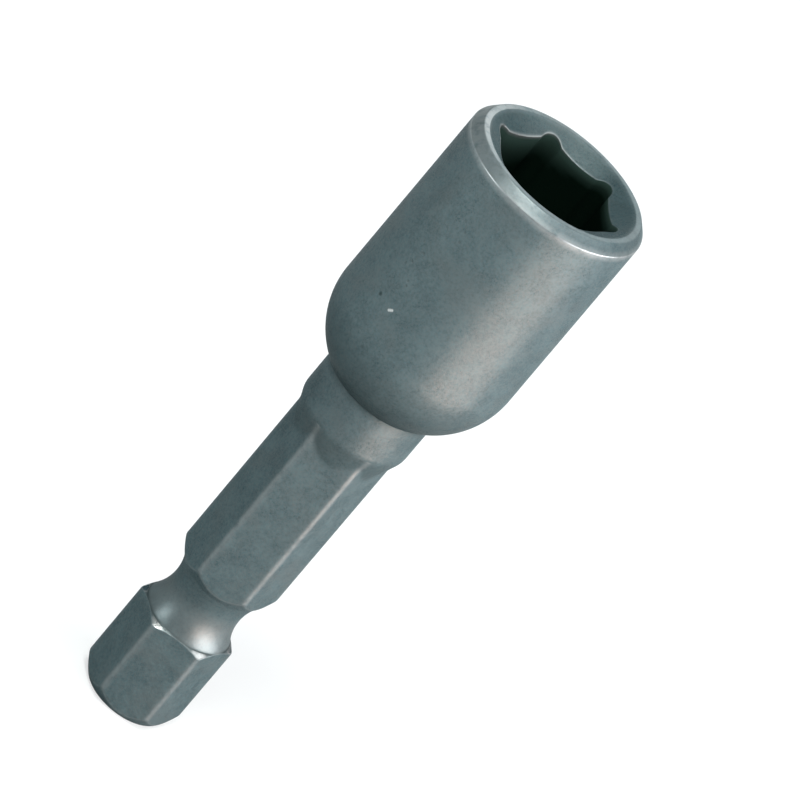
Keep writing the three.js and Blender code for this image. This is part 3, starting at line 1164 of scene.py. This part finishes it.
class NUTSETTER_OT_magnet(bpy.types.Operator):
    """Make the disc magnet and the brass sleeve that centres it"""

    bl_idname = "nut_setter.magnet"
    bl_label = "Magnet and Sleeve"

    def execute(self, context):
        settings = context.scene.nut_setter
        s, f = settings.magnet, settings.finish
        bottom, top = node_span("magnet")
        disc = disc_surface(node_size("magnet").x / 2, bottom, top, s.edge_radius)
        nickel = turned_metal("magnet_nickel", f.nickel, f.nickel_tarnish, f.nickel_roughness)
        dress(surface_object("magnet_disc", disc), "magnet", nickel)

        bottom, top = node_span("magnet_sleeve")
        outer = node_size("magnet_sleeve").x / 2
        ring = tube_surface(outer - s.sleeve_wall, outer, bottom, top, s.sleeve_edge)
        brass = turned_metal("sleeve_brass", f.brass, f.brass_tarnish, f.brass_roughness)
        dress(surface_object("sleeve_ring", ring, ring=True), "magnet_sleeve", brass)
        return {"FINISHED"}


class NUTSETTER_OT_stage(bpy.types.Operator):
    """Make the pale floor, the soft boxes, the sky and the camera"""

    bl_idname = "nut_setter.stage"
    bl_label = "Stage"

    def execute(self, context):
        settings = context.scene.nut_setter
        s = settings.stage
        self.make_floor(context, s)
        self.make_sky(context, s)
        for name in LAMPS:
            self.make_lamp(context, name, s.azimuth, getattr(settings, name))
        self.make_camera(context, s)
        context.scene.view_settings.view_transform = "Standard"
        return {"FINISHED"}

    @staticmethod
    def make_floor(context, s):
        """A flat round floor at the tool's lowest point, as rings of points about the axis."""
        radius = np.array(FLOOR_RADII)[:, None]
        points = ring_points(radius, CAD_BOX[0][2], even_angles(FLOOR_COLUMNS)[None])
        index, quads = grid_quads(*points.shape[:2])
        faces = [*quads[:-1].reshape(-1, 4).tolist(), index[-1].tolist()]
        mesh = bpy.data.meshes.new("pale_floor")
        mesh.from_pydata(points.reshape(-1, 3).tolist(), [], faces)
        shaded = -s.shade_side * Vector((math.cos(s.azimuth), math.sin(s.azimuth), 0.0))
        mesh.materials.append(pale_floor("floor_white", s, shaded))
        floor = bpy.data.objects.new("pale_floor", mesh)
        context.collection.objects.link(floor)

    @staticmethod
    def make_sky(context, s):
        """A plain soft light from all round."""
        world = bpy.data.worlds.new("studio_sky")
        world.use_nodes = True
        background = world.node_tree.nodes["Background"]
        background.inputs["Color"].default_value = rgba(s.sky)
        background.inputs["Strength"].default_value = 1.0
        context.scene.world = world

    @staticmethod
    def make_lamp(context, name, azimuth, box):
        """A soft box at an angle to the side of the camera and above the tool's middle, which it faces."""
        around = azimuth + box.side
        flat, up = math.cos(box.rise), math.sin(box.rise)
        towards = Vector((math.sin(around) * flat, -math.cos(around) * flat, up))
        middle = Vector((0.0, 0.0, (CAD_BOX[0][2] + CAD_BOX[1][2]) / 2))
        light = bpy.data.lights.new(name, "AREA")
        light.shape = "RECTANGLE"
        light.size = box.width
        light.size_y = box.tall
        light.color = box.tint
        light.energy = box.power
        lamp = bpy.data.objects.new(name, light)
        lamp.location = middle + towards * box.distance
        lamp.rotation_euler = towards.to_track_quat("Z", "Y").to_euler()
        lamp.visible_camera = False
        context.collection.objects.link(lamp)

    @staticmethod
    def make_camera(context, s):
        """The photograph's view: turned about the tool, raised, then rolled about the camera's own axis."""
        turn = Matrix.Rotation(s.azimuth, 3, "Z")
        back = turn @ Vector((0.0, -math.cos(s.elevation), math.sin(s.elevation)))
        level_right = turn @ Vector((1.0, 0.0, 0.0))
        level_up = back.cross(level_right)
        right = level_right * math.cos(s.roll) + level_up * math.sin(s.roll)
        up = back.cross(right)
        data = bpy.data.cameras.new("photo_camera")
        data.sensor_width = SENSOR_WIDTH
        data.lens = s.lens
        data.clip_start = CLIP_START
        camera = bpy.data.objects.new("photo_camera", data)
        place = right * s.offset_right + up * s.offset_up + back * s.distance
        axes = Matrix((right, up, back)).transposed().to_4x4()
        camera.matrix_world = Matrix.Translation(place) @ axes
        context.collection.objects.link(camera)
        context.scene.camera = camera


class NUTSETTER_PT_panel(bpy.types.Panel):
    """Lists the nut setter's pieces and sizes"""

    bl_idname = "NUTSETTER_PT_panel"
    bl_label = "Nut Setter"
    bl_space_type = "VIEW_3D"
    bl_region_type = "UI"
    bl_category = "Nut Setter"

    def draw(self, context):
        settings = context.scene.nut_setter
        for operator, groups in (
            (NUTSETTER_OT_shank, ("shank", "finish")),
            (NUTSETTER_OT_socket, ("socket",)),
            (NUTSETTER_OT_magnet, ("magnet",)),
            (NUTSETTER_OT_stage, ("stage", *LAMPS)),
        ):
            self.layout.operator(operator.bl_idname)
            for name in groups:
                self.draw_group(name, getattr(settings, name))

    def draw_group(self, name, group):
        """Lists one group's settings in a box under its name."""
        box = self.layout.box()
        box.label(text=name.replace("_", " ").capitalize())
        for key in group.bl_rna.properties.keys():
            if key not in {"rna_type", "name"}:
                box.prop(group, key)


CLASSES = (
    NutSetterShank,
    NutSetterSocket,
    NutSetterMagnet,
    NutSetterFinish,
    NutSetterStage,
    NutSetterKeyLight,
    NutSetterRightLight,
    NutSetterHighLight,
    NutSetterTopLight,
    NutSetterFrontLight,
    NutSetterLeftLight,
    NutSetterBackLight,
    NutSetterSettings,
    NUTSETTER_OT_shank,
    NUTSETTER_OT_socket,
    NUTSETTER_OT_magnet,
    NUTSETTER_OT_stage,
    NUTSETTER_PT_panel,
)


def register():
    for cls in CLASSES:
        bpy.utils.register_class(cls)
    bpy.types.Scene.nut_setter = bpy.props.PointerProperty(type=NutSetterSettings)


def unregister():
    del bpy.types.Scene.nut_setter
    for cls in reversed(CLASSES):
        bpy.utils.unregister_class(cls)


def main():
    register()
    bpy.ops.nut_setter.shank()
    bpy.ops.nut_setter.socket()
    bpy.ops.nut_setter.magnet()
    bpy.ops.nut_setter.stage()


if __name__ == "__main__":
    main()
